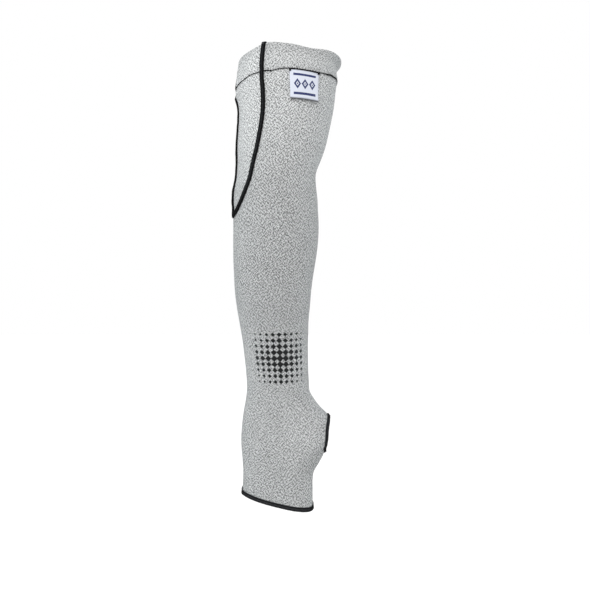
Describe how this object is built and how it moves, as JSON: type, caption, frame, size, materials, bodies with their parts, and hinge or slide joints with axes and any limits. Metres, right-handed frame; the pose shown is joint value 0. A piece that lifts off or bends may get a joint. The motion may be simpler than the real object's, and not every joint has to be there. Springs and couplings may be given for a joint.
{
  "type": "cut resistant sleeve",
  "caption": "Knitted forearm and upper-arm sleeve with a folded band, a gusset let into the upper arm, bound edges and a thumb hole, shaped as worn.",
  "frame": {"origin": "centre of the folded band at the top of the upper arm, where an arm holds the sleeve", "axes": "+Z from the hand up to the shoulder, +X to the thumb's side, -Y to the side of the back of the hand"},
  "size_m": [0.1221, 0.1258, 0.5196],
  "materials": {
    "heather_knit": "matte",
    "gusset_knit": "matte",
    "black_thread": "matte",
    "woven_tape": "satin"
  },
  "bodies": {
    "root": {"sleeve_body": "heather_knit", "gusset": "gusset_knit", "hem_band": "heather_knit", "gusset_hem_band": "gusset_knit", "gusset_seam": "black_thread", "hand_binding": "black_thread", "thumb_binding": "black_thread", "label": "woven_tape"}
  },
  "joints": []
}
